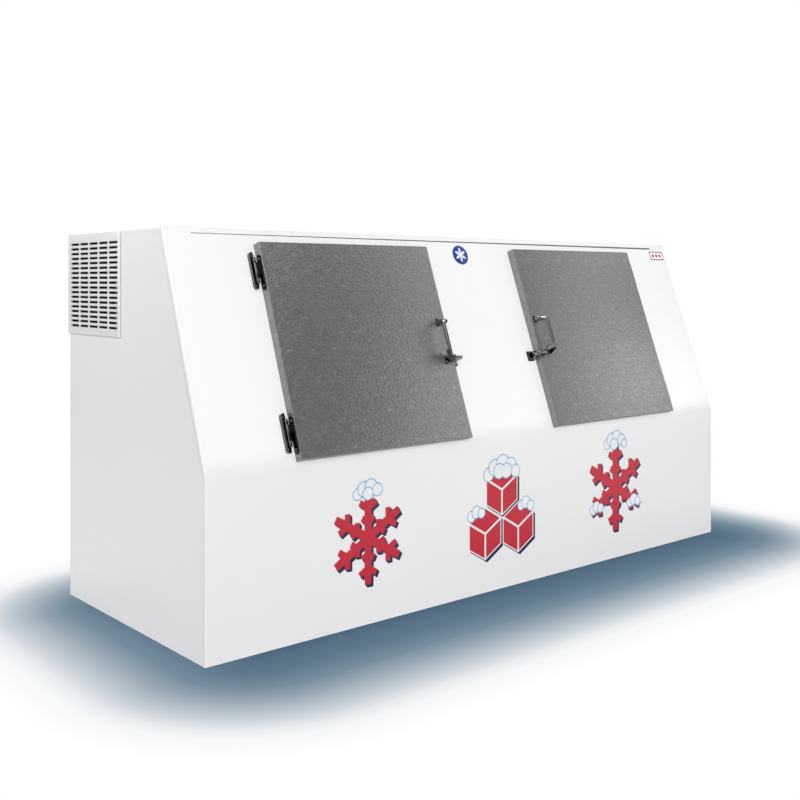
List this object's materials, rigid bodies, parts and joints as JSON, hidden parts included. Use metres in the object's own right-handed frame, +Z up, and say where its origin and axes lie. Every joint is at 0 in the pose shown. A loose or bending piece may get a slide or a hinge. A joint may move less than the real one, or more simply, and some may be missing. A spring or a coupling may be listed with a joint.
{
  "type": "ice merchandiser freezer",
  "caption": "Slant-front insulated ice merchandiser with two overlay doors on the leaning front and a refrigeration unit behind a grille at the upper rear corner.",
  "frame": {"origin": "centre of the flat underside, on the floor", "axes": "+X to the right along the width, +Y to the back, +Z up"},
  "size_m": [2.396, 0.9113, 1.196],
  "materials": {
    "cabinet_enamel": "gloss white baked enamel",
    "grille_enamel": "satin white enamel",
    "galvanised": "galvanised sheet, spangled",
    "foam": "foamed-in-place polyurethane",
    "liner": "white coated sheet",
    "breaker": "white extruded plastic",
    "fins": "stamped fins, copper bends",
    "fan_black": "moulded black",
    "motor_grey": "satin grey",
    "compressor_black": "gloss black",
    "copper": "drawn copper",
    "door_sheet": "stucco-embossed, grey",
    "gasket": "grey",
    "chrome": "polished chrome",
    "zinc": "bright zinc"
  },
  "bodies": {
    "cabinet": {"left_end_panel": "cabinet_enamel", "right_end_panel": "cabinet_enamel", "front_panel": "cabinet_enamel", "slant_panel": "cabinet_enamel", "back_panel": "cabinet_enamel", "roof_cap": "cabinet_enamel", "grille_cover": "grille_enamel", "base_pan": "galvanised", "unit_tray": "galvanised", "rear_louver": "galvanised", "control_box": "galvanised", "evaporator_case": "galvanised", "drain_pan": "galvanised", "fan_shroud": "galvanised", "floor_insulation": "foam", "end_insulation": "foam", "back_insulation": "foam", "front_insulation": "foam", "slant_insulation": "foam", "roof_insulation": "foam", "inner_liner": "liner", "bay_wall": "liner", "left_breaker_frame": "breaker", "right_breaker_frame": "breaker", "condenser_coil": "fins", "evaporator_coil": "fins", "condenser_motor": "motor_grey", "evaporator_motor": "motor_grey", "compressor": "compressor_black", "refrigerant_lines": "copper", "cord_bushing": "gasket", "hinge_frame_leaves": "chrome", "left_strike": "chrome", "right_strike": "chrome", "hinge_pins": "zinc", "cabinet_screws": "zinc", "evaporator_guard": "zinc"},
    "left_door": {"left_door_skin": "door_sheet", "left_door_insulation": "foam", "left_door_liner": "liner", "left_door_gasket": "gasket", "left_hinge_door_leaves": "chrome", "left_handle_feet": "chrome", "left_handle_pin": "zinc", "left_latch_spring": "zinc", "left_door_screws": "zinc"},
    "right_door": {"right_door_skin": "door_sheet", "right_door_insulation": "foam", "right_door_liner": "liner", "right_door_gasket": "gasket", "right_hinge_door_leaves": "chrome", "right_handle_feet": "chrome", "right_handle_pin": "zinc", "right_latch_spring": "zinc", "right_door_screws": "zinc"},
    "left_latch_handle": {"left_handle": "chrome"},
    "right_latch_handle": {"right_handle": "chrome"},
    "condenser_fan_rotor": {"condenser_fan": "fan_black"},
    "evaporator_fan_rotor": {"evaporator_fan": "fan_black"},
    "thermostat_dial": {"thermostat_knob": "fan_black"}
  },
  "joints": [
    {"name": "left_door_hinge", "type": "hinge", "parent": "cabinet", "child": "left_door", "pos_m": [-0.909, -0.33315, 0.83779], "axis": [0, -0.3399, -0.9405], "range_deg": [0, 110]},
    {"name": "right_door_hinge", "type": "hinge", "parent": "cabinet", "child": "right_door", "pos_m": [0.909, -0.33315, 0.83779], "axis": [0, 0.3399, 0.9405], "range_deg": [0, 110]},
    {"name": "left_latch_pull", "type": "hinge", "parent": "left_door", "child": "left_latch_handle", "pos_m": [-0.2395, -0.34747, 0.90703], "axis": [-1, 0, 0], "range_deg": [0, 14], "stiffness_Nm_per_rad": 1.2, "springref_deg": -17.19},
    {"name": "right_latch_pull", "type": "hinge", "parent": "right_door", "child": "right_latch_handle", "pos_m": [0.2395, -0.34747, 0.90703], "axis": [-1, 0, 0], "range_deg": [0, 14], "stiffness_Nm_per_rad": 1.2, "springref_deg": -17.19},
    {"name": "condenser_fan_spin", "type": "hinge", "parent": "cabinet", "child": "condenser_fan_rotor", "pos_m": [-1.0975, 0.29, 1.022], "axis": [1, 0, 0], "continuous": true},
    {"name": "evaporator_fan_spin", "type": "hinge", "parent": "cabinet", "child": "evaporator_fan_rotor", "pos_m": [-0.178, 0.21, 1.03], "axis": [1, 0, 0], "continuous": true},
    {"name": "thermostat_turn", "type": "hinge", "parent": "cabinet", "child": "thermostat_dial", "pos_m": [-1.176, 0.11, 1], "axis": [-1, 0, 0], "range_deg": [0, 270]}
  ]
}
